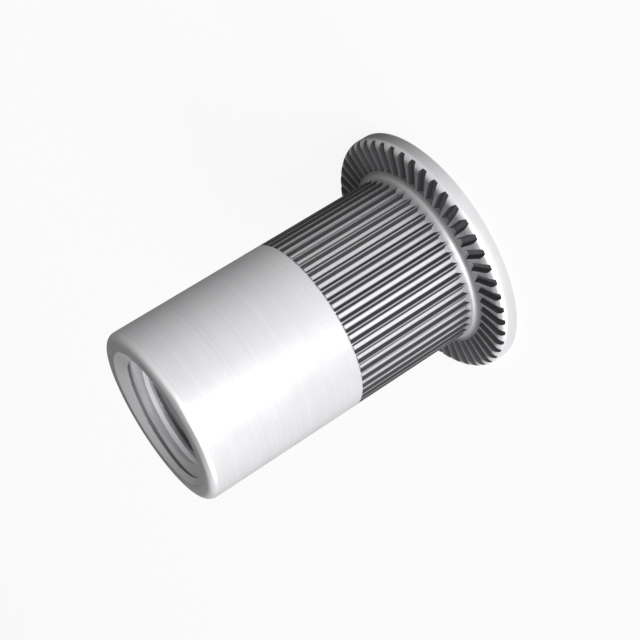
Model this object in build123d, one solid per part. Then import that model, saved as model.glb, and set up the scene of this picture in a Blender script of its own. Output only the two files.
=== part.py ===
from build123d import *

import math
import os

# Ribbed rivet nut, M8, turned in one piece: a flat round head, a round body that is ribbed
# on the half next to the head, and grooves under the head that leave a ring of wedges.
# The origin is the centre of the head's flat outer face, and +Z runs along the axis
# to the plain end, so the nut stands on its head. All sizes are in millimetres.

# Overall form
overall_length = 20.1
body_diameter = 11.0
smooth_length = 10.5          # plain half of the body, from the plain end to the ribs
end_fillet = 0.5              # outer edge of the plain end
neck_fillet = 0.33            # inside corner between the body and the head

# Head
head_diameter = 15.8
head_thickness = 1.1
head_fillet = 0.5             # edge of the head on the side of the body

# Ribs along the body: flat-bottomed grooves with sloping sides, and narrow crests between
rib_count = 50
rib_depth = 0.14
rib_floor_width = 0.27
rib_crest_width = 0.05
rib_start_ramp = 0.14         # length over which a groove deepens from the plain half
rib_end_ramp = 0.27           # length over which a groove runs out near the neck
rib_end_gap = 0.03            # plain ring between the ribs and the neck fillet

# Wedges under the head: radial grooves with flat floors, open over the head's rounded edge
wedge_count = 50
wedge_depth = 0.26
wedge_floor_width = 0.30
wedge_side_angle = 30.0       # slope of a groove's sides, from the axis
wedge_collar = 0.07           # plain ring between the neck fillet and the grooves

# Threaded hole through the plain half, cut here to the thread's core
thread_diameter = 8.0
thread_pitch = 1.25
thread_length = 8.0
core_depth_factor = 1.0825    # pitches between the outside of an ISO thread and its core
mouth_diameter = 8.9          # countersink at the plain end
mouth_angle = 120.0           # as flat as the thread's own flanks, so it leaves the first turn whole

# Wide bore behind the thread, whose thin wall folds when the nut is set
chamber_diameter = 8.5
shoulder_angle = 90.0         # cone between the wide bore and the thread
head_chamfer = 0.3            # entry of the wide bore at the head's face

# The cutters reach this far past the surface that they cut
cut_margin = 0.1

# Sizes that follow from those above
body_radius = body_diameter / 2
head_radius = head_diameter / 2
core_radius = (thread_diameter - core_depth_factor * thread_pitch) / 2
mouth_radius = mouth_diameter / 2
chamber_radius = chamber_diameter / 2
mouth_depth = (mouth_radius - core_radius) / math.tan(math.radians(mouth_angle / 2))
shoulder_depth = (chamber_radius - core_radius) / math.tan(math.radians(shoulder_angle / 2))
thread_top = overall_length - mouth_depth
thread_bottom = thread_top - thread_length
neck_top = head_thickness + neck_fillet
rib_top = overall_length - smooth_length
rib_bottom = neck_top + rib_end_gap


def round_corner(face, x, y, radius):
    """Round the corner of a flat face that lies at x, y in the face's own plane XZ."""
    corner = face.vertices().sort_by_distance((x, 0, y))[0]
    return fillet(corner, radius)


def quarter_circle(start, corner, end):
    """The exact quarter circle that rounds a square corner, drawn as a rational curve."""
    return Bezier(start, corner, end, weights=[1, math.sqrt(0.5), 1])


def turned_blank():
    """The nut before its ribs and grooves: half of its section, turned about the axis."""
    rim_top = head_thickness - head_fillet
    flat_edge = head_radius - head_fillet
    rim = quarter_circle((head_radius, rim_top), (head_radius, head_thickness), (flat_edge, head_thickness))
    rest = Polyline(
        (flat_edge, head_thickness),
        (body_radius, head_thickness),
        (body_radius, overall_length),
        (mouth_radius, overall_length),
        (core_radius, thread_top),
        (core_radius, thread_bottom),
        (chamber_radius, thread_bottom - shoulder_depth),
        (chamber_radius, head_chamfer),
        (chamber_radius + head_chamfer, 0),
        (head_radius, 0),
        (head_radius, rim_top),
    )
    section = Plane.XZ * make_face([rim] + rest.edges())
    section = round_corner(section, body_radius, head_thickness, neck_fillet)
    section = round_corner(section, body_radius, overall_length, end_fillet)
    return revolve(section, Axis.Z)


def rib_groove():
    """One groove between two ribs, on the +X side, as the solid that is cut away."""
    floor_radius = body_radius - rib_depth
    pitch = 2 * math.pi * body_radius / rib_count
    mouth_width = pitch - rib_crest_width
    widening = (mouth_width - rib_floor_width) / rib_depth
    crest_rise = 0.5 * rib_crest_width / widening
    edge_radius = body_radius + crest_rise
    edge_width = mouth_width + widening * crest_rise
    outer_radius = body_radius + cut_margin
    across = make_face(Polyline(
        (floor_radius, -rib_floor_width / 2),
        (edge_radius, -edge_width / 2),
        (outer_radius, -edge_width / 2),
        (outer_radius, edge_width / 2),
        (edge_radius, edge_width / 2),
        (floor_radius, rib_floor_width / 2),
        close=True,
    ))
    end_slope = rib_end_ramp / rib_depth
    start_slope = rib_start_ramp / rib_depth
    along = Plane.XZ * make_face(Polyline(
        (floor_radius - cut_margin, rib_bottom + rib_end_ramp + end_slope * cut_margin),
        (outer_radius, rib_bottom - end_slope * cut_margin),
        (outer_radius, rib_top + start_slope * cut_margin),
        (floor_radius - cut_margin, rib_top - rib_start_ramp - start_slope * cut_margin),
        close=True,
    ))
    bar = extrude(across, overall_length)
    ramped = extrude(along, pitch, both=True)
    return bar & ramped


def wedge_groove():
    """One radial groove under the head, on the +X side, as the solid that is cut away."""
    side_slope = math.tan(math.radians(wedge_side_angle))
    top_width = wedge_floor_width + 2 * side_slope * (wedge_depth + cut_margin)
    floor_height = head_thickness - wedge_depth
    top_height = head_thickness + cut_margin
    across = Plane.YZ * make_face(Polyline(
        (-wedge_floor_width / 2, floor_height),
        (wedge_floor_width / 2, floor_height),
        (top_width / 2, top_height),
        (-top_width / 2, top_height),
        close=True,
    ))
    start = body_radius + neck_fillet + wedge_collar
    length = head_radius + cut_margin - start
    return Pos(start, 0, 0) * extrude(across, length)


def all_round(tool, count):
    """Copies of a tool, evenly spaced about the axis."""
    return [Rot(0, 0, 360 / count * index) * tool for index in range(count)]


def rivet_nut():
    """The whole nut: the turned blank with its rib grooves and its wedge grooves cut."""
    nut = turned_blank()
    nut = nut - all_round(rib_groove(), rib_count)
    return nut - all_round(wedge_groove(), wedge_count)


os.makedirs("parts", exist_ok=True)
nut = rivet_nut()
nut.label = "rivet_nut"
export_step(nut, "parts/rivet_nut.step")
print("rivet_nut: solids", len(nut.solids()), "valid", nut.is_valid, "volume mm3", round(nut.volume, 2))
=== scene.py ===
# %% [markdown]
# # A ribbed rivet nut
# A rivet nut gives thin sheet metal a strong thread. It goes into a hole from one side. A tool
# then pulls its threaded half towards the sheet, and the thin wall between them folds and grips.
# The nut is turned from one steel bar, its ribs and wedges are pressed in, and it is zinc plated.
#
# The CAD model has its true solid form, but a plain hole where the thread should be. This script
# models the whole nut again, this time with its thread, gives it its plating, and sets up a small
# photo studio around it.

# %% The frame
import math

import bpy
from mathutils import Matrix, Vector


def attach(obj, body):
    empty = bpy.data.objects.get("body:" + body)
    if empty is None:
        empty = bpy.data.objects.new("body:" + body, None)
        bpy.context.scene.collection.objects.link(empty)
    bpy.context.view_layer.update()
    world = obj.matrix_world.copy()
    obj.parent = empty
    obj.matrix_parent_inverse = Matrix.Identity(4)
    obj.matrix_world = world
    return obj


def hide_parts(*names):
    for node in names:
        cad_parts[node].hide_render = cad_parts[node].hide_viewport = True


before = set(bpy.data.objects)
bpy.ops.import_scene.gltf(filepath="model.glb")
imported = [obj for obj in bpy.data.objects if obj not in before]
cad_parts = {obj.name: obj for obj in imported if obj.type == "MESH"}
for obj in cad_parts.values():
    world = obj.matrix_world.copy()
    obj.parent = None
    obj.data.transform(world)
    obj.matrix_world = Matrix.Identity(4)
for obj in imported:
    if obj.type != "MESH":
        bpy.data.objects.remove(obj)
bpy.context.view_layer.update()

# %% [markdown]
# ## Selecting by place
# An operator acts on whatever is selected, so each step starts from nothing. Edges or faces are
# then picked by their place, as a hand would pick them in the viewport.
#
# The nut is modelled in millimetres, because Blender's tools and their thresholds suit things of
# about that size, and it is shrunk to metres at the end. The origin is the middle of the head's
# flat face, and Z points up the nut.

# %% Helpers for objects
def deselect_all():
    """Leave edit mode, and let go of every object."""
    if bpy.context.mode != "OBJECT":
        bpy.ops.object.mode_set(mode="OBJECT")
    bpy.ops.object.select_all(action="DESELECT")


def edit_new(name):
    """Name the object that was just added, and enter edit mode with all of it selected."""
    piece = bpy.context.object
    piece.name = name
    piece.data.name = name
    bpy.ops.object.mode_set(mode="EDIT")
    bpy.ops.mesh.select_all(action="SELECT")
    return piece


# %% Helpers for parts of a mesh
SELECT_MODES = {"edges": "EDGE", "polygons": "FACE"}


def pick(piece, kind, wanted):
    """Select the edges or faces whose corners pass the test, and count them."""
    bpy.ops.mesh.select_mode(type=SELECT_MODES[kind])
    bpy.ops.mesh.select_all(action="DESELECT")
    bpy.ops.object.mode_set(mode="OBJECT")
    count = 0
    for item in getattr(piece.data, kind):
        item.select = wanted([piece.data.vertices[index].co for index in item.vertices])
        count += item.select
    bpy.ops.object.mode_set(mode="EDIT")
    return count


def radius_of(place):
    """The distance of a place from the nut's axis."""
    return math.hypot(place.x, place.y)


# %% [markdown]
# ## Turning the blank
# On a lathe the nut's outline is cut as the bar spins. Blender's Spin could turn a drawn outline
# in the same way. Here one ring of vertices is pulled along the outline instead, from corner to
# corner and back to its start, where the last ring is merged with the first. That keeps every
# ring evenly divided, with eight divisions to each of the fifty grooves that come later, so all
# the grooves come out alike.

# %% Sizes of the blank, in millimetres
LENGTH = 20.1
BODY_RADIUS = 5.5
HEAD_RADIUS = 7.9
HEAD_THICKNESS = 1.1
MOUTH_RADIUS = 4.45
MOUTH_HALF_ANGLE = math.radians(60)
CORE_RADIUS = 3.3234
THREAD_LENGTH = 8.0
CHAMBER_RADIUS = 4.25
HEAD_CHAMFER = 0.3
thread_top = LENGTH - (MOUTH_RADIUS - CORE_RADIUS) / math.tan(MOUTH_HALF_ANGLE)
thread_bottom = thread_top - THREAD_LENGTH
chamber_top = thread_bottom - (CHAMBER_RADIUS - CORE_RADIUS)
print("threaded from", round(thread_bottom, 3), "to", round(thread_top, 3), "mm")

# %% The blank
GROOVE_COUNT = 50
DIVISIONS = 8 * GROOVE_COUNT
MERGE_IN_BLANK = 0.002
outline = [
    (HEAD_RADIUS, 0),
    (HEAD_RADIUS, HEAD_THICKNESS),
    (BODY_RADIUS, HEAD_THICKNESS),
    (BODY_RADIUS, LENGTH),
    (MOUTH_RADIUS, LENGTH),
    (CORE_RADIUS, thread_top),
    (CORE_RADIUS, thread_bottom),
    (CHAMBER_RADIUS, chamber_top),
    (CHAMBER_RADIUS, HEAD_CHAMFER),
    (CHAMBER_RADIUS + HEAD_CHAMFER, 0),
]


def pull_ring(start, end):
    """Pull the selected ring from one corner of the outline to the next."""
    lift = (0, 0, end[1] - start[1])
    bpy.ops.mesh.extrude_region_move(TRANSFORM_OT_translate={"value": lift})
    scale = end[0] / start[0]
    bpy.ops.transform.resize(value=(scale, scale, 1))


deselect_all()
bpy.ops.mesh.primitive_circle_add(vertices=DIVISIONS, radius=HEAD_RADIUS, location=(0, 0, 0))
nut = edit_new("threaded_nut")
for start, end in zip(outline, outline[1:] + outline[:1]):
    pull_ring(start, end)
bpy.ops.mesh.select_all(action="SELECT")
bpy.ops.mesh.remove_doubles(threshold=MERGE_IN_BLANK)
bpy.ops.mesh.normals_make_consistent(inside=False)
print("blank:", len(outline), "rings of", DIVISIONS)

# %% [markdown]
# ## Rounding the corners
# The turning tool leaves round corners on the head, the neck and the open end. Their arcs could
# be part of the outline. A bevel keeps the outline short, and with a profile of 0.5 it makes a
# true quarter circle. Edges that look sharp on a real nut still catch a thin line of light, so
# those get a very small bevel too. Each ring of edges is found by its radius and height, to
# within a hundredth of a millimetre.

# %% Rounded corners
HEAD_FILLET = 0.5
NECK_FILLET = 0.33
END_FILLET = 0.5
SHARP_EDGE = 0.03
FILLET_STEPS = 10
NECK_STEPS = 8
SHARP_STEPS = 2
NEAR = 0.01


def round_ring(radius, height, size, steps):
    """Round the ring of edges at this radius and height."""
    def on_ring(places):
        return all(abs(radius_of(p) - radius) < NEAR and abs(p.z - height) < NEAR for p in places)
    found = pick(nut, "edges", on_ring)
    bpy.ops.mesh.bevel(
        offset=size, offset_type="OFFSET", segments=steps, profile=0.5, affect="EDGES")
    return found


rounded = [
    round_ring(HEAD_RADIUS, HEAD_THICKNESS, HEAD_FILLET, FILLET_STEPS),
    round_ring(BODY_RADIUS, HEAD_THICKNESS, NECK_FILLET, NECK_STEPS),
    round_ring(BODY_RADIUS, LENGTH, END_FILLET, FILLET_STEPS),
    round_ring(HEAD_RADIUS, 0, SHARP_EDGE, SHARP_STEPS),
    round_ring(MOUTH_RADIUS, LENGTH, SHARP_EDGE, SHARP_STEPS),
]
bpy.ops.object.mode_set(mode="OBJECT")
print("rounded rings, edges in each:", rounded)

# %% [markdown]
# ## The ribs along the body
# Fifty ribs hold the nut still in its hole. They are what remains between grooves that a ribbed
# die presses in. Each groove has a flat floor and sloping sides, and ramps up to the surface at
# both ends. Such grooves could be inset and pushed in face by face. A cutting tool gives cleaner
# slopes: a box whose outer face is larger than its inner face is exactly the groove's shape.

# %% A box with unequal ends
def stretched_box(name, inner, outer):
    """A box along +X. Each end face is given as x, half its width, low z and high z."""
    deselect_all()
    bpy.ops.mesh.primitive_cube_add(size=2, location=(0, 0, 0))
    tool = edit_new(name)
    for side, (x, half, low, high) in ((1, outer), (-1, inner)):
        pick(tool, "polygons", lambda places: all(p.x * side > 0 for p in places))
        bpy.ops.transform.resize(value=(1, half, (high - low) / 2))
        bpy.ops.transform.translate(value=(x - side, 0, (high + low) / 2))
    return tool


# %% [markdown]
# One tool is shaped, then spun round the axis as fifty separate copies, and all of them are
# subtracted at once. Each tool ends just above the surface, where it is still narrower than the
# step to the next, so neighbours never touch. Tools that overlap would confuse the Boolean.

# %% Copying and cutting
def copy_all_round(tool):
    """Spin copies of the tool round the axis, one for each groove."""
    bpy.ops.mesh.select_mode(type="FACE")
    bpy.ops.mesh.select_all(action="SELECT")
    turn = 2 * math.pi * (GROOVE_COUNT - 1) / GROOVE_COUNT
    bpy.ops.mesh.spin(
        steps=GROOVE_COUNT - 1, angle=turn, center=(0, 0, 0), axis=(0, 0, 1), dupli=True)
    bpy.ops.mesh.select_all(action="SELECT")
    bpy.ops.mesh.normals_make_consistent(inside=False)
    bpy.ops.object.mode_set(mode="OBJECT")
    print(tool.name, "faces:", len(tool.data.polygons))


def cut_away(piece, tool):
    """Subtract the tool from the piece, then remove the tool."""
    deselect_all()
    piece.select_set(True)
    bpy.context.view_layer.objects.active = piece
    cut = piece.modifiers.new("cut", "BOOLEAN")
    cut.operation = "DIFFERENCE"
    cut.solver = "EXACT"
    cut.object = tool
    bpy.ops.object.modifier_apply(modifier=cut.name)
    bpy.data.objects.remove(tool)
    print(piece.name, "faces after the cut:", len(piece.data.polygons))


# %% The rib grooves
RIB_DEPTH = 0.14
RIB_FLOOR = 0.27
RIB_CREST = 0.05
RIB_BOTTOM = 1.46
RIB_TOP = 9.6
RIB_END_RAMP = 0.27
RIB_START_RAMP = 0.14
ABOVE = 0.012
rib_step = 2 * math.pi * BODY_RADIUS / GROOVE_COUNT
side_run = (rib_step - RIB_CREST - RIB_FLOOR) / 2 / RIB_DEPTH
rise = RIB_DEPTH + ABOVE
rib_tool = stretched_box(
    "rib_tool",
    (BODY_RADIUS - RIB_DEPTH, RIB_FLOOR / 2, RIB_BOTTOM + RIB_END_RAMP, RIB_TOP - RIB_START_RAMP),
    (
        BODY_RADIUS + ABOVE,
        RIB_FLOOR / 2 + side_run * rise,
        RIB_BOTTOM + RIB_END_RAMP * (1 - rise / RIB_DEPTH),
        RIB_TOP - RIB_START_RAMP * (1 - rise / RIB_DEPTH),
    ),
)
copy_all_round(rib_tool)
cut_away(nut, rib_tool)

# %% [markdown]
# ## The wedges under the head
# Fifty short grooves run outwards under the head and over its rounded edge. The wedges between
# them bite into the sheet and stop the nut from turning. Wedges could be built up one by one, but
# grooves cut into the finished head leave its rounded edge in place between them. Each groove has
# a flat floor and sloping sides, so its tool is a bar that lies along the radius, narrow below
# and wide above.

# %% The wedge grooves
WEDGE_DEPTH = 0.26
WEDGE_FLOOR = 0.30
WEDGE_SLOPE = math.tan(math.radians(30))
WEDGE_START = 5.9
PAST_TOP = 0.05
PAST_RIM = 0.1


def wedge_bar(name):
    """A bar along +X for one groove under the head."""
    deselect_all()
    bpy.ops.mesh.primitive_cube_add(size=2, location=(0, 0, 0))
    tool = edit_new(name)
    low = HEAD_THICKNESS - WEDGE_DEPTH
    high = HEAD_THICKNESS + PAST_TOP
    far = HEAD_RADIUS + PAST_RIM
    bpy.ops.transform.resize(value=((far - WEDGE_START) / 2, 1, (high - low) / 2))
    bpy.ops.transform.translate(value=((far + WEDGE_START) / 2, 0, (high + low) / 2))
    for level in (low, high):
        half = WEDGE_FLOOR / 2 + WEDGE_SLOPE * (level - low)
        pick(tool, "polygons", lambda places: all(abs(p.z - level) < NEAR for p in places))
        bpy.ops.transform.resize(value=(1, half, 1))
    return tool


wedge_tool = wedge_bar("wedge_tool")
copy_all_round(wedge_tool)
cut_away(nut, wedge_tool)

# %% [markdown]
# ## The thread
# The thread is M8 with a pitch of 1.25 mm, right-handed. A tap cuts it as one groove that winds
# up the hole like a coil. Its section is a trapezium, narrow at the root, with sides that stand
# sixty degrees apart. A bump in the material would be quicker, but the first turns show their
# true outline in the open end, so the groove is cut for real.

# %% Section of the thread's groove
THREAD_RADIUS = 4.03
INNER_EDGE = 3.16
ROOT_HALF = 0.09
FIRST_TURN_HEIGHT = 9.2745
FLANK_ANGLE = math.radians(30)
mouth_half = ROOT_HALF + (THREAD_RADIUS - INNER_EDGE) * math.tan(FLANK_ANGLE)

deselect_all()
bpy.ops.mesh.primitive_plane_add(size=2, location=(0, 0, 0))
thread_tool = edit_new("thread_tool")
bpy.ops.transform.rotate(value=math.radians(90), orient_axis="X", center_override=(0, 0, 0))
for side, x, half in ((1, THREAD_RADIUS, ROOT_HALF), (-1, INNER_EDGE, mouth_half)):
    pick(thread_tool, "edges", lambda places: all(p.x * side > 0 for p in places))
    bpy.ops.transform.resize(value=(1, 1, half))
    bpy.ops.transform.translate(value=(x - side, 0, FIRST_TURN_HEIGHT))
bpy.ops.mesh.select_mode(type="FACE")
bpy.ops.mesh.select_all(action="SELECT")
bpy.ops.mesh.delete(type="ONLY_FACE")
bpy.ops.object.mode_set(mode="OBJECT")
print("groove, mm: root", 2 * ROOT_HALF, "wide, mouth", round(2 * mouth_half, 3))

# %% [markdown]
# The Screw modifier winds the section round the axis, and lifts it by one pitch with each turn.
# Turning towards +Y while it rises makes a right-hand thread. The coil starts in the wide bore
# and ends in the open mouth, so it leaves no blunt end in the wall. Its two open ends are filled,
# because a Boolean needs a closed solid.

# %% Winding and cutting the thread
THREAD_PITCH = 1.25
TURNS = 9
STEPS_PER_TURN = 120
wind = thread_tool.modifiers.new("wind", "SCREW")
wind.axis = "Z"
wind.angle = 2 * math.pi
wind.screw_offset = THREAD_PITCH
wind.iterations = TURNS
wind.steps = STEPS_PER_TURN
wind.render_steps = STEPS_PER_TURN
wind.use_merge_vertices = False
bpy.ops.object.modifier_apply(modifier=wind.name)
bpy.ops.object.mode_set(mode="EDIT")
bpy.ops.mesh.select_mode(type="EDGE")
bpy.ops.mesh.select_all(action="DESELECT")
bpy.ops.mesh.select_non_manifold()
bpy.ops.mesh.fill_holes(sides=4)
bpy.ops.mesh.select_all(action="SELECT")
bpy.ops.mesh.normals_make_consistent(inside=False)
bpy.ops.object.mode_set(mode="OBJECT")
heights = [corner.co.z for corner in thread_tool.data.vertices]
print("coil from z", round(min(heights), 2), "to", round(max(heights), 2), "mm")
cut_away(nut, thread_tool)

# %% [markdown]
# ## Finishing the mesh
# Points that the cuts left on top of each other are merged, and the nut is shrunk to metres.
# Smooth shading that stops at real edges suits a turned part. Weighted normals keep the long
# flat strips from borrowing the slope of the small faces beside them.

# %% Clean and shade
MM = 0.001
MERGE_AFTER_CUTS = 0.0005
SMOOTH_UP_TO = math.radians(28)


def finish_mesh(piece):
    """Merge, shrink to metres, turn the faces outwards, and shade smooth between edges."""
    deselect_all()
    piece.select_set(True)
    bpy.context.view_layer.objects.active = piece
    bpy.ops.object.mode_set(mode="EDIT")
    bpy.ops.mesh.select_all(action="SELECT")
    bpy.ops.mesh.remove_doubles(threshold=MERGE_AFTER_CUTS)
    bpy.ops.transform.resize(value=(MM, MM, MM), center_override=(0, 0, 0))
    bpy.ops.mesh.normals_make_consistent(inside=False)
    bpy.ops.object.mode_set(mode="OBJECT")
    bpy.ops.object.shade_smooth_by_angle(angle=SMOOTH_UP_TO)
    weigh = piece.modifiers.new("weigh", "WEIGHTED_NORMAL")
    weigh.keep_sharp = True
    weigh.weight = 80
    bpy.ops.object.modifier_apply(modifier=weigh.name)


finish_mesh(nut)
size = [round(v / MM, 3) for v in nut.dimensions]
print("nut:", len(nut.data.polygons), "faces; size, mm:", size)

# %% [markdown]
# ## Marking the painted shade
# The sides of the grooves, the floors of those under the head and the roots of the thread get
# painted shade: a darker colour that stands in for the shade in these hollows, and a rougher
# finish. The ramps at the ends of the rib grooves get only a little of it. A mask by distance
# from the axis would darken those ramps as much as the sides, so the faces are told apart by
# their
# normals: that of a groove's side points round the nut, and that of a thread's root points at the
# axis. Each face keeps its mark as an attribute of the mesh, which the material reads. The limits
# below are shares of a normal's length.

# %% Marks for painted shade
# Each mark is a share of painted shade: full on the grooves' sides, nearly full on the wedge
# floors and the thread's roots, and a little on the rib ramps.
SIDE_MARK = 1.0
WEDGE_FLOOR_MARK = 0.85
ROOT_MARK = 0.9
RAMP_MARK = 0.25
ROUND_FROM = 0.3
UPRIGHT_BELOW = 0.5
RAMP_SLOPE_FROM = 0.3
RAMP_SLOPE_TO = 0.8
LEVEL_FROM = 0.9


def mark_of(face):
    """How much painted shade a face gets, from 0 to 1, told by its middle and its normal."""
    normal = face.normal
    place = face.center / MM
    from_axis = radius_of(place)
    if from_axis < BODY_RADIUS - 2 * RIB_DEPTH:
        at_root = abs(from_axis - THREAD_RADIUS) < 2 * NEAR and abs(normal.z) < UPRIGHT_BELOW
        return ROOT_MARK if at_root else 0.0
    if abs(normal.x * place.y - normal.y * place.x) > ROUND_FROM * from_axis:
        return SIDE_MARK
    if place.z > HEAD_THICKNESS:
        sloping = RAMP_SLOPE_FROM < abs(normal.z) < RAMP_SLOPE_TO
        return RAMP_MARK if sloping and RIB_BOTTOM < place.z < RIB_TOP else 0.0
    at_floor = abs(place.z - (HEAD_THICKNESS - WEDGE_DEPTH)) < NEAR
    on_floor = at_floor and from_axis > WEDGE_START and normal.z > LEVEL_FROM
    return WEDGE_FLOOR_MARK if on_floor else 0.0


marks = [mark_of(face) for face in nut.data.polygons]
nut.data.attributes.new("dullness", "FLOAT", "FACE").data.foreach_set("value", marks)
for mark in (SIDE_MARK, WEDGE_FLOOR_MARK, ROOT_MARK, RAMP_MARK):
    print("faces with the mark", mark, "are", marks.count(mark))

# %% [markdown]
# ## Tying the nut to the frame
# The whole nut is one body. The modelled nut stands for the CAD solid, which is hidden but stays
# as the shape that the physics uses.

# %% Tie it to the frame
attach(nut, "root")
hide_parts("rivet_nut")
print(nut.name, "rides on root, in the slot plated_steel, in place of rivet_nut")

# %% [markdown]
# ## Writing shaders as sums
# A finish is a tree of small nodes. Wiring them one by one is slow to read, so a socket is
# wrapped in a class that understands + - * and /, and each such sign adds a Math node. Every
# other node comes from one method, which sets the node up and fills its sockets.

# %% A socket that can be used in sums
class Value:
    """The output of a node, for use in plain sums."""

    def __init__(self, tree, socket):
        self.tree = tree
        self.socket = socket

    def maths(self, operation, *others):
        return self.tree.maths(operation, self, *others)

    def __add__(self, other):
        return self.maths("ADD", other)

    def __mul__(self, other):
        return self.maths("MULTIPLY", other)

    def __sub__(self, other):
        return self.maths("SUBTRACT", other)

    def __rsub__(self, other):
        return self.tree.maths("SUBTRACT", other, self)

    def __truediv__(self, other):
        return self.maths("DIVIDE", other)

    def __rtruediv__(self, other):
        return self.tree.maths("DIVIDE", other, self)

    __radd__ = __add__
    __rmul__ = __mul__


# %% A node tree
class Added:
    """A node that was just added."""

    def __init__(self, tree, node):
        self.tree = tree
        self.node = node

    def out(self, name=0):
        return Value(self.tree, self.node.outputs[name])


class Tree:
    """The node tree of a material or of the world, emptied."""

    def __init__(self, owner):
        owner.use_nodes = True
        self.nodes = owner.node_tree.nodes
        self.links = owner.node_tree.links
        self.nodes.clear()

    def add(self, kind, settings=None, sockets=None):
        """Add a node, set it up, and fill or link its sockets."""
        node = self.nodes.new(kind)
        for name, value in (settings or {}).items():
            if name == "stops":
                self.set_stops(node.color_ramp, value)
            else:
                setattr(node, name, value)
        for name, value in (sockets or {}).items():
            if isinstance(value, Value):
                self.links.new(value.socket, node.inputs[name])
            else:
                node.inputs[name].default_value = value
        return Added(self, node)

    def maths(self, operation, *values):
        return self.add("ShaderNodeMath", {"operation": operation}, dict(enumerate(values))).out()

    def ramp(self, value, start, end, low=0.0, high=1.0):
        """Carry a value from the range start to end into the range low to high, softly."""
        return self.add(
            "ShaderNodeMapRange",
            {"interpolation_type": "SMOOTHSTEP"},
            {"Value": value, "From Min": start, "From Max": end, "To Min": low, "To Max": high},
        ).out("Result")

    def mix_colour(self, factor, first, second):
        """Mix two colours. The node's colour sockets are numbers 6 and 7, its result 2."""
        sockets = {0: factor, 6: first, 7: second}
        return self.add("ShaderNodeMix", {"data_type": "RGBA"}, sockets).out(2)

    @staticmethod
    def set_stops(color_ramp, stops):
        """Fill a colour ramp with greys, each given as a place and a level."""
        while len(color_ramp.elements) < len(stops):
            color_ramp.elements.new(0.5)
        for element, (place, level) in zip(color_ramp.elements, stops):
            element.position = place
            element.color = (level, level, level, 1)


# %% [markdown]
# ## Where on the nut
# The plating looks different from place to place: crests are worn, grooves get painted shade,
# and the hole is matt. Painting the nut by hand could show that. Masks are exact and follow the
# sizes
# above: each is a number from 0 to 1, worked out from the height and the distance from the
# axis. Both come from Object coordinates, so the finish moves with the nut.

# %% Height and radius in the shader
plate = bpy.data.materials.new("bright_zinc_plate")
tree = Tree(plate)
where = tree.add("ShaderNodeTexCoord").out("Object")
split = tree.add("ShaderNodeSeparateXYZ", {}, {"Vector": where})
x, y, z = split.out("X") / MM, split.out("Y") / MM, split.out("Z") / MM
radius_squared = x * x + y * y
radius = radius_squared.maths("SQRT")
print("nodes for height and radius:", len(tree.nodes))


# %% The ribbed half and its crests
SOFT = 0.05
OUTER_SKIN = 0.3
CREST_SKIN = 0.012
CREST_WORN = 0.005


def inside(value, low, high, edge=SOFT):
    """One between low and high, falling softly to nought over the width of an edge."""
    return tree.ramp(value, low - edge, low) * tree.ramp(value, high, high + edge, 1, 0)


outside = tree.ramp(radius, BODY_RADIUS - OUTER_SKIN, BODY_RADIUS - OUTER_SKIN + SOFT)
ribbed = inside(z, RIB_BOTTOM - SOFT, RIB_TOP + 0.02) * outside
crest = (
    tree.ramp(radius, BODY_RADIUS - CREST_SKIN, BODY_RADIUS - CREST_WORN)
    * inside(z, RIB_BOTTOM + RIB_END_RAMP, RIB_TOP - RIB_START_RAMP, 2 * SOFT)
)
print("nodes with the ribbed half:", len(tree.nodes))

# %% [markdown]
# The painted shade starts with the marked faces. The neck and the underside of the head get
# painted shade too, about half as much. So do the corners of a rib groove's floor. On that flat
# floor the squared distance from the axis, less the squared distance of the floor's middle, is
# the square of how far a point lies from the middle, so the corners can be found without an
# angle.

# %% Painted shade
# Amounts of painted shade on the neck, under the head, and in the corners of the rib floors.
NECK_PAINTED_SHADE = 0.4
UNDER_HEAD_PAINTED_SHADE = 0.6
CORNER_PAINTED_SHADE = 0.75
FADE_FROM = HEAD_RADIUS - 0.6
FADE_TO = HEAD_RADIUS - 0.15
marked = tree.add("ShaderNodeAttribute", {"attribute_name": "dullness"}).out("Fac")
under_head = (
    tree.ramp(radius, BODY_RADIUS, WEDGE_START - 0.02, NECK_PAINTED_SHADE, UNDER_HEAD_PAINTED_SHADE)
    * tree.ramp(radius, FADE_FROM, FADE_TO, 1, 0)
    * inside(z, HEAD_THICKNESS - 0.2, HEAD_THICKNESS + 0.3)
)
from_middle = radius_squared - (BODY_RADIUS - RIB_DEPTH) ** 2
at_side = (RIB_FLOOR / 2) ** 2
corner = (
    tree.ramp(from_middle, 0.05 * at_side, at_side)
    * tree.ramp(from_middle, 1.05 * at_side, 1.2 * at_side, 1, 0)
)
# All the painted shade in one mask, which also makes the plate rougher there.
painted_shade_and_matt = marked.maths("MAXIMUM", under_head * outside)
painted_shade_and_matt = painted_shade_and_matt.maths("MAXIMUM", corner * ribbed * CORNER_PAINTED_SHADE)
print("nodes with the dull places:", len(tree.nodes))

# %% [markdown]
# In the hole, the crests of the thread and the countersink were cut last and look pale and matt.
# Further down, the thread is rough from the tap.

# %% Places in the hole
thread_crest = (
    tree.ramp(radius, CORE_RADIUS + 0.005, CORE_RADIUS + 0.03, 1, 0)
    * tree.ramp(z, thread_bottom, thread_bottom + 2 * SOFT)
)
in_mouth = (
    inside(radius, CORE_RADIUS, MOUTH_RADIUS - 0.03, 0.02)
    * tree.ramp(z, thread_top - SOFT, thread_top)
)
in_hole = (
    tree.ramp(radius, CHAMBER_RADIUS + SOFT, CHAMBER_RADIUS - SOFT)
    * inside(z, thread_bottom, thread_top - 2 * THREAD_PITCH, 0.4)
)
print("nodes with the hole:", len(tree.nodes))

# %% [markdown]
# ## Marks of making
# Three patterns lie over the whole nut. The lathe leaves fine rings, so their noise is read from
# height and radius alone and is the same all the way round. The plating is a little cloudy. And
# its crystals give the surface a fine grain. The rings are pressed flat where the ribs are.
# Pictures of metal could show all this too, but noise has no seam and stays sharp from close by.

# %% Rings, clouds and grain
BUMP_HEIGHT = 0.008 * MM
BUMP_STRENGTH = 0.8
RING_SHARE = 0.7
GRAIN_SHARE = 0.3


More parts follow.
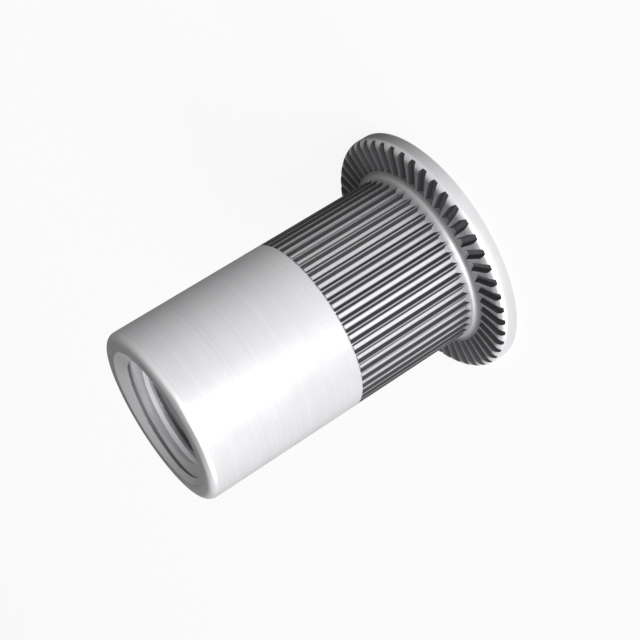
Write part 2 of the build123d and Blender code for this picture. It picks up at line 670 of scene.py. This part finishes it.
def noise(vector, scale, detail, roughness=0.5):
    """A pattern of noise from 0 to 1."""
    return tree.add(
        "ShaderNodeTexNoise",
        {"noise_dimensions": "3D"},
        {"Vector": vector, "Scale": scale, "Detail": detail, "Roughness": roughness},
    ).out("Fac")


across_rings = tree.add("ShaderNodeCombineXYZ", {}, {"X": radius, "Z": z}).out()
turned = noise(across_rings, scale=5.0, detail=4.0, roughness=0.65)
cloud = noise(where, scale=900.0, detail=3.0)
grain = noise(where, scale=9000.0, detail=2.0)
height = turned * (1 - ribbed) * RING_SHARE + grain * GRAIN_SHARE
sockets = {"Strength": BUMP_STRENGTH, "Distance": BUMP_HEIGHT, "Height": height}
bump = tree.add("ShaderNodeBump", {}, sockets)
print("nodes with the patterns:", len(tree.nodes))

# %% [markdown]
# ## Bright zinc plate
# Zinc plate is a thin, pale, slightly milky metal skin. It is a metal, so its colour tints what
# it mirrors, and its look comes mostly from how rough it is: about 0.4 gives broad, soft
# highlights. Grey paint could be as pale, but it would mirror far less of the room. Where shade
# is painted, the plate is darker and rougher. The narrow crests of the ribs are rubbed through to
# the steel, which is smoother and a darker grey.

# %% Colours of the plate
ZINC = (0.81, 0.81, 0.82, 1)
ZINC_SHADE = (0.67, 0.68, 0.71, 1)
# The near-black colour is painted shade for the grooves and hollows.
ZINC_PAINTED_SHADE = (0.07, 0.07, 0.075, 1)
WORN_TO_STEEL = (0.36, 0.36, 0.37, 1)
RING_TINT = 0.45
CLOUD_TINT = 0.2
WEAR = 0.8
streak = tree.ramp(turned, 0.35, 0.68) * RING_TINT + cloud * CLOUD_TINT
colour = tree.mix_colour(streak * (1 - painted_shade_and_matt), ZINC, ZINC_SHADE)
colour = tree.mix_colour(painted_shade_and_matt, colour, ZINC_PAINTED_SHADE)
colour = tree.mix_colour(crest * WEAR, colour, WORN_TO_STEEL)
print("nodes with the colours:", len(tree.nodes))

# %% Roughness and metal
SMOOTHEST = 0.38
ROUGHEST = 0.42
RING_ROUGHNESS = 0.12
DULL_ROUGHNESS = 0.3
CREST_POLISH = 0.08
THREAD_CREST_MATT = 0.75
HOLE_MATT = 0.7
MOUTH_MATT = 0.2
rough = tree.ramp(cloud, 0.3, 0.7, SMOOTHEST, ROUGHEST) + (turned - 0.5) * RING_ROUGHNESS
rough = rough + painted_shade_and_matt * DULL_ROUGHNESS - crest * CREST_POLISH
matt_inside = (thread_crest * THREAD_CREST_MATT).maths("MAXIMUM", in_hole * HOLE_MATT)
metal = 1 - matt_inside - in_mouth * MOUTH_MATT
print("nodes with roughness and metal:", len(tree.nodes))

# %% The plated finish
shader = tree.add(
    "ShaderNodeBsdfPrincipled", {},
    {"Base Color": colour, "Metallic": metal, "Roughness": rough, "Normal": bump.out()},
)
tree.add("ShaderNodeOutputMaterial", {}, {"Surface": shader.out()})
nut.data.materials.clear()
nut.data.materials.append(plate)
print("bright_zinc_plate:", len(tree.nodes), "nodes")

# %% [markdown]
# ## The floor
# The nut stands on its head on white paper. Real paper under soft light renders as a light grey.
# So for rays that look at it, directly or in a mirror, most of the paper's light is replaced by
# plain white. Its own share stays, and keeps the nut's soft shadow.

# %% White paper on the floor
FLOOR_SIZE = 6
FLOOR_WHITENESS = 0.86
PAPER = (0.9, 0.9, 0.9, 1)
WHITE = (1, 1, 1, 1)


def seen_rays(tree):
    """One for rays that look at a thing directly, in a mirror or through glass, else nought."""
    path = tree.add("ShaderNodeLightPath")
    seen = path.out("Is Camera Ray").maths("MAXIMUM", path.out("Is Glossy Ray"))
    return seen.maths("MAXIMUM", path.out("Is Transmission Ray"))


deselect_all()
bpy.ops.mesh.primitive_plane_add(size=FLOOR_SIZE, location=(0, 0, 0))
floor = bpy.context.object
floor.name = "floor"
paper = bpy.data.materials.new("floor_paper")
tree = Tree(paper)
matt = tree.add("ShaderNodeBsdfDiffuse", {}, {"Color": PAPER})
white = tree.add("ShaderNodeEmission", {}, {"Color": WHITE, "Strength": 1})
share = seen_rays(tree) * FLOOR_WHITENESS
both = tree.add("ShaderNodeMixShader", {}, {0: share, 1: matt.out(), 2: white.out()})
tree.add("ShaderNodeOutputMaterial", {}, {"Surface": both.out()})
floor.data.materials.append(paper)
print("floor:", FLOOR_SIZE, "m wide, white share", FLOOR_WHITENESS)

# %% [markdown]
# ## The room
# The world does two things. As a lamp it fills the shadows evenly, at half strength. To rays
# that look at it, it is white paper that turns grey overhead, like the ceiling of a studio. The
# countersink and the thread's flanks mirror that ceiling and take their greys from it.

# %% The world
WORLD_LIGHT = 0.5
CEILING = 0.34
WALL_UP_TO = 0.25
CEILING_FROM = 0.75
scene = bpy.context.scene
world = bpy.data.worlds.new("studio")
scene.world = world
tree = Tree(world)
direction = tree.add("ShaderNodeTexCoord").out("Generated")
upwardness = tree.add("ShaderNodeSeparateXYZ", {}, {"Vector": direction}).out("Z")
backdrop = tree.ramp(upwardness, WALL_UP_TO, CEILING_FROM, 1.0, CEILING)
lamp_light = tree.add("ShaderNodeBackground", {}, {"Color": WHITE, "Strength": WORLD_LIGHT})
seen_paper = tree.add("ShaderNodeBackground", {}, {"Color": backdrop, "Strength": 1})
sockets = {0: seen_rays(tree), 1: lamp_light.out(), 2: seen_paper.out()}
both = tree.add("ShaderNodeMixShader", {}, sockets)
tree.add("ShaderNodeOutputWorld", {}, {"Surface": both.out()})
print("world: light", WORLD_LIGHT, "ceiling", CEILING)

# %% [markdown]
# ## The camera
# The round rims of a turned part appear as ellipses, and their shapes, sizes and places fix
# where the camera stood: close by, about twenty degrees above the floor, and rolled so far that
# the standing nut lies across the picture. Placing it by eye would be quicker, but the rims would
# not all come out right. Directions for the card and the lamps are given from the camera's side
# too, as parts towards it, beside that, and up.

# %% The camera's side
CAMERA_AZIMUTH = math.radians(-87.7)
towards = Vector((math.cos(CAMERA_AZIMUTH), math.sin(CAMERA_AZIMUTH), 0))
beside = Vector((-math.sin(CAMERA_AZIMUTH), math.cos(CAMERA_AZIMUTH), 0))
upwards = Vector((0, 0, 1))


def from_camera_side(a, b, c):
    """A vector given by its parts towards the camera, beside that, and up."""
    return towards * a + beside * b + upwards * c


def facing(direction):
    """The turn that points a camera's or lamp's back along a direction."""
    return direction.to_track_quat("Z", "Y").to_matrix().to_4x4()


# %% The camera
CAMERA_RISE = math.radians(19.8737)
CAMERA_ROLL = math.radians(-122.0682)
CAMERA_DISTANCE = 0.08615
AIM_ASIDE = -0.00012
AIM_HEIGHT = 0.008573
FOCAL_LENGTH = 81.675
aim = from_camera_side(0, AIM_ASIDE, AIM_HEIGHT)
backwards = from_camera_side(math.cos(CAMERA_RISE), 0, math.sin(CAMERA_RISE))
place = aim + backwards * CAMERA_DISTANCE
lens = bpy.data.cameras.new("view")
lens.lens = FOCAL_LENGTH
lens.sensor_width = 36
lens.clip_start = 0.005
lens.clip_end = 20
camera = bpy.data.objects.new("view", lens)
scene.collection.objects.link(camera)
roll = Matrix.Rotation(CAMERA_ROLL, 4, "Z")
camera.matrix_world = Matrix.Translation(place) @ facing(backwards) @ roll
scene.camera = camera
print("camera at", [round(v, 4) for v in place])

# %% [markdown]
# ## A dark card
# Bright metal on white paper mirrors white everywhere, and loses its form. Photographers stand a
# dark card beside it, outside the picture, and the metal mirrors the card as a soft shade. This
# card is a wall that curves round the nut, with a flat skirt on the floor that reaches inwards
# almost to the head's rim. Only mirror rays see it, so it darkens no shadow.

# %% The card's shape
CARD_RADIUS = 0.018
CARD_HEIGHT = 0.045
CARD_LIFT = 0.00001
CARD_STEPS = 96
CARD_FROM = math.radians(12)
CARD_TO = math.radians(250)
SKIRT_RADIUS = 0.00791


def bearing(corners):
    """The angle of a face round the nut: 0 on the camera's side, up to a full turn."""
    middle = sum(corners, Vector())
    return math.atan2(middle.dot(beside), middle.dot(towards)) % (2 * math.pi)


deselect_all()
bpy.ops.mesh.primitive_cylinder_add(
    vertices=CARD_STEPS, radius=CARD_RADIUS, depth=CARD_HEIGHT, end_fill_type="NOTHING",
    location=(0, 0, 0))
card = edit_new("dark_card")
bpy.ops.transform.translate(value=(0, 0, CARD_HEIGHT / 2 + CARD_LIFT))
removed = pick(card, "polygons", lambda corners: not CARD_FROM < bearing(corners) < CARD_TO)
bpy.ops.mesh.delete(type="FACE")
pick(card, "edges", lambda corners: all(p.z < 2 * CARD_LIFT for p in corners))
bpy.ops.mesh.extrude_region_move()
inwards = SKIRT_RADIUS / CARD_RADIUS
bpy.ops.transform.resize(value=(inwards, inwards, 1), center_override=(0, 0, 0))
bpy.ops.object.mode_set(mode="OBJECT")
card.visible_camera = False
card.visible_diffuse = False
card.visible_shadow = False
card.visible_transmission = False
print("dark card:", len(card.data.polygons), "faces left,", removed, "removed")

# %% [markdown]
# The card's shades run round it: white at both ends, and black a little past the back of the
# nut. A mirror turns twice as fast as its surface, so a shade at some angle on the card
# shows at half that angle on the body. On the skirt, which the rim mirrors from close by, the
# shades come sooner. Higher up, the wall is a little lighter.

# %% The card's shades
CARD_SHADES = [
    (20, 0.95), (41, 0.85), (67, 0.62), (97, 0.37), (120, 0.22),
    (150, 0.10), (190, 0.04), (212, 0.30), (232, 0.75), (248, 0.95),
]
SOONER_UP_TO = 0.51
LIGHTER_FROM = 0.0205
LIGHTER_TO = 0.0305
LIGHTER_BY = 0.06

card_paint = bpy.data.materials.new("card_shades")
tree = Tree(card_paint)
where = tree.add("ShaderNodeTexCoord").out("Object")
split = tree.add("ShaderNodeSeparateXYZ", {}, {"Vector": where})
x, y, z = split.out("X"), split.out("Y"), split.out("Z")
ahead = x * towards.x + y * towards.y
aside = x * beside.x + y * beside.y
turn = (aside.maths("ARCTAN2", ahead) / (2 * math.pi)).maths("FRACT")
nearness = CARD_RADIUS / (x * x + y * y).maths("SQRT")
turn = (turn * nearness).maths("MINIMUM", turn.maths("MAXIMUM", SOONER_UP_TO))
stops = [(degrees / 360, level) for degrees, level in CARD_SHADES]
level = tree.add("ShaderNodeValToRGB", {"stops": stops}, {"Fac": turn}).out("Color")
level = level + tree.ramp(z, LIGHTER_FROM, LIGHTER_TO, 0, LIGHTER_BY)
glow = tree.add("ShaderNodeEmission", {}, {"Color": level, "Strength": 1})
tree.add("ShaderNodeOutputMaterial", {}, {"Surface": glow.out()})
card.data.materials.append(card_paint)
print("card shades:", len(CARD_SHADES), "stops,", len(tree.nodes), "nodes")

# %% [markdown]
# ## Lamps
# Two large, soft lamps light the nut, as in a small studio. The key stands on the side that the
# card leaves open, and draws the long highlight along the body. The weaker fill lights the nut
# from further round. Both are far away for such a small thing, so the light is even along it.

# %% The two lamps
LAMP_DISTANCE = 1.2
LAMP_SIZE = 0.75
NUT_MIDDLE = Vector((0, 0, LENGTH / 2 * MM))


def soft_lamp(name, direction, watts):
    """A square soft lamp that faces the nut's middle from the given direction."""
    light = bpy.data.lights.new(name, "AREA")
    light.size = LAMP_SIZE
    light.energy = watts
    lamp = bpy.data.objects.new(name, light)
    scene.collection.objects.link(lamp)
    spot = NUT_MIDDLE + direction.normalized() * LAMP_DISTANCE
    lamp.matrix_world = Matrix.Translation(spot) @ facing(direction)
    print(name, "at", [round(v, 2) for v in spot], "watts", watts)


soft_lamp("key", from_camera_side(0.86, -0.5, 0.35), watts=12.6)
soft_lamp("fill", from_camera_side(0.1, -1, 0.35), watts=3.5)
scene.view_settings.view_transform = "Standard"
